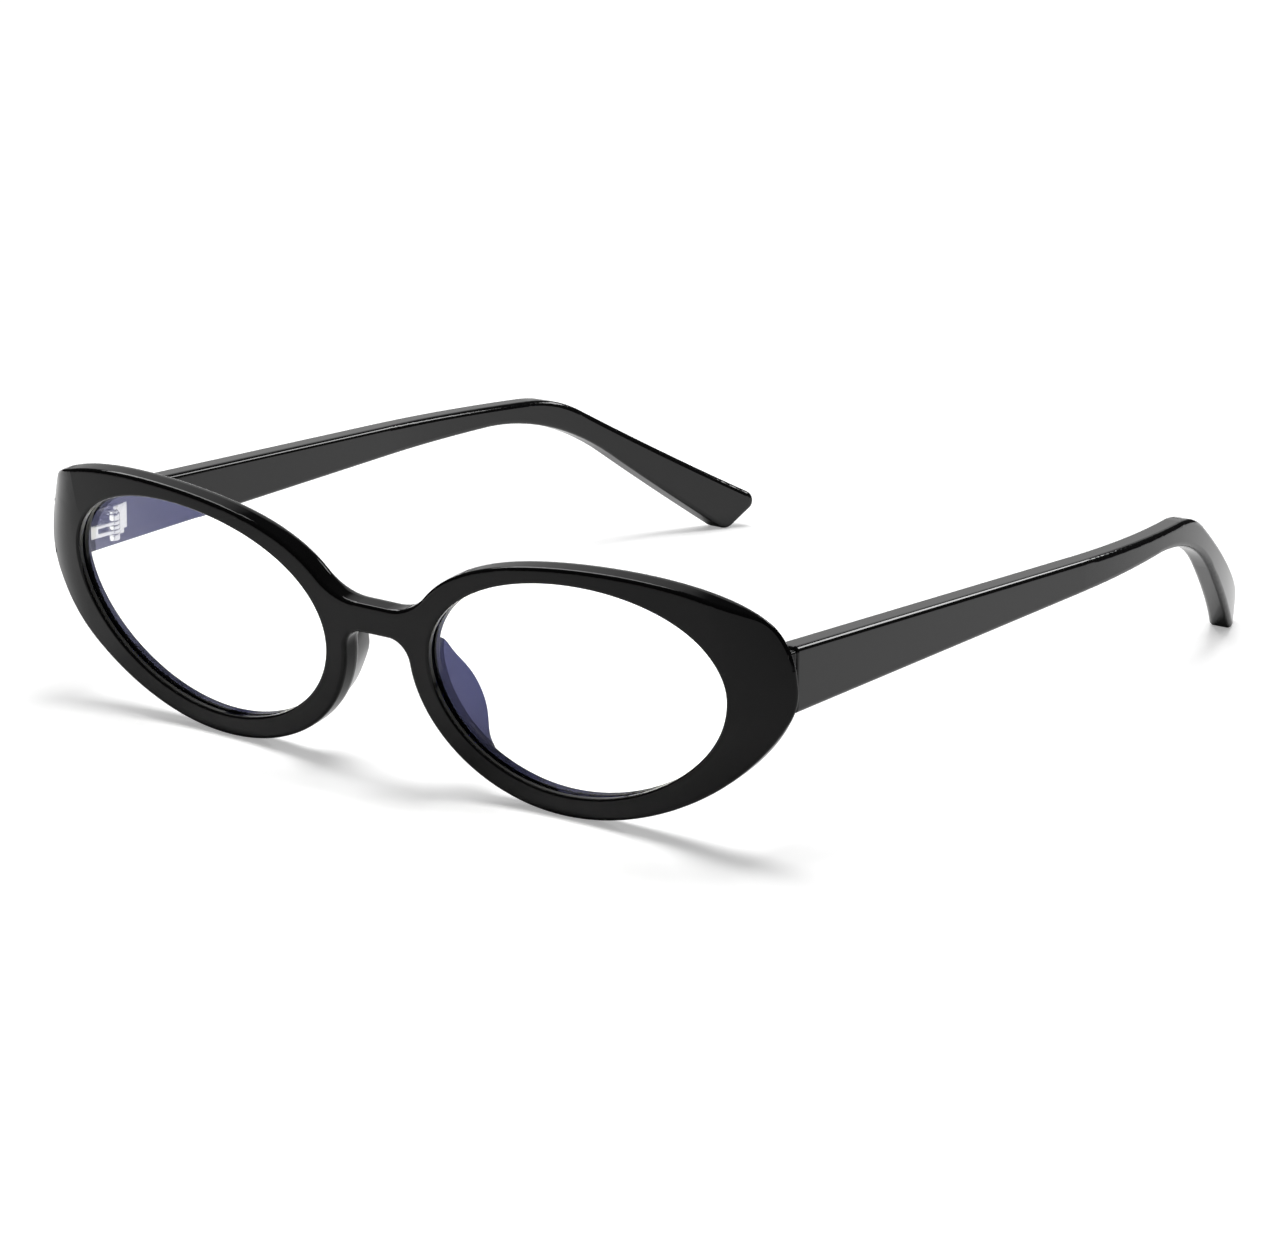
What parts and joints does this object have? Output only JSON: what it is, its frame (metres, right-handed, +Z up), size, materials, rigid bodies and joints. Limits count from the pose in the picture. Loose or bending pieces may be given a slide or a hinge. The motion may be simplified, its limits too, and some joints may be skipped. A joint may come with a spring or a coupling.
{
  "type": "oval eyeglasses",
  "caption": "Full-rim spectacles with slim oval acetate rims, clear lenses, built-up nose pads and folding temples on barrel hinges.",
  "frame": {"origin": "middle of the open spectacles' box, on the surface they stand on", "axes": "+X to the wearer's left, +Y from the front back along the temples, +Z up; the rims and the temple tips rest on z = 0"},
  "size_m": [0.1374, 0.1536, 0.038],
  "materials": {
    "front_acetate": "polished black acetate",
    "temple_acetate": "polished black acetate",
    "lens": "clear with a faint blue anti-reflection coating",
    "hinge_metal": "bright nickel plate",
    "screw_metal": "bright nickel plate",
    "core_steel": "drawn wire"
  },
  "bodies": {
    "front": {"front_frame": "front_acetate", "lens_left": "lens", "lens_right": "lens", "nose_pad_left": "front_acetate", "nose_pad_right": "front_acetate", "front_hinge_left": "hinge_metal", "front_hinge_right": "hinge_metal"},
    "temple_arm_left": {"temple_left": "temple_acetate", "temple_core_wire_left": "core_steel", "temple_hinge_left": "hinge_metal", "hinge_screw_left": "screw_metal"},
    "temple_arm_right": {"temple_right": "temple_acetate", "temple_core_wire_right": "core_steel", "temple_hinge_right": "hinge_metal", "hinge_screw_right": "screw_metal"}
  },
  "joints": [
    {"name": "temple_fold_left", "type": "hinge", "parent": "front", "child": "temple_arm_left", "pos_m": [0.062, -0.061, 0.02467], "axis": [0, 0, 1], "range_deg": [0, 86]},
    {"name": "temple_fold_right", "type": "hinge", "parent": "front", "child": "temple_arm_right", "pos_m": [-0.062, -0.061, 0.02467], "axis": [0, 0, -1], "range_deg": [0, 68]}
  ]
}
